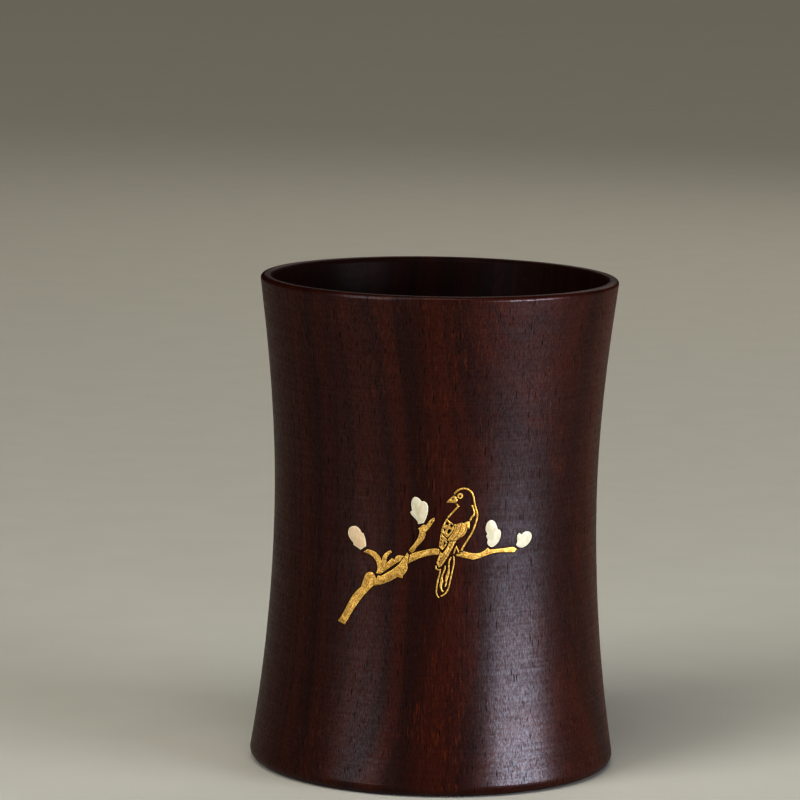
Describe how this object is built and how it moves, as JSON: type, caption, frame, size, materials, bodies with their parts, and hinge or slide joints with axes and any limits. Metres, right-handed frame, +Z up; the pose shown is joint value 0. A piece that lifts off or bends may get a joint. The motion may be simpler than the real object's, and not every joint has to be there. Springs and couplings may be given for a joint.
{
  "type": "brush holder pot",
  "caption": "Round waisted hardwood desk pot, open at the top, for writing brushes and pens, with a bird on a flowering branch inlaid in brass and shell.",
  "frame": {"origin": "centre of the base, on the plane the foot ring stands on", "axes": "+Z up along the turning axis, out of the mouth; the inlaid picture faces -Y, and +X is to its right"},
  "size_m": [0.0836, 0.0836, 0.112],
  "materials": {
    "hardwood": "satin, dark red-brown rosewood or sandalwood with a fine vertical grain",
    "hardwood_floor": "satin, dark red-brown",
    "brass_inlay": "satin, lightly grained",
    "shell_cream": "polished shell or bone, cream",
    "shell_pink": "polished shell or bone, warmer and pinker"
  },
  "bodies": {
    "root": {"pot_body": "hardwood", "floor_disc": "hardwood_floor", "bird_eye": "brass_inlay", "bird_beak": "brass_inlay", "bird_back_line": "brass_inlay", "bird_wing_coverts": "brass_inlay", "bird_wing_shoulder": "brass_inlay", "bird_wing_primaries": "brass_inlay", "bird_wing_secondaries": "brass_inlay", "bird_breast_line": "brass_inlay", "bird_nape_line": "brass_inlay", "bird_foot": "brass_inlay", "bird_tail_outer_right": "brass_inlay", "bird_tail_inner_right": "brass_inlay", "bird_tail_inner_left": "brass_inlay", "bird_tail_outer_left": "brass_inlay", "branch_right": "brass_inlay", "branch_middle": "brass_inlay", "branch_trunk": "brass_inlay", "branch_fork_left": "brass_inlay", "branch_twig_up": "brass_inlay", "bud_upper": "shell_cream", "bud_right": "shell_cream", "bud_branch_tip": "shell_cream", "bud_far_left": "shell_pink"}
  },
  "joints": []
}
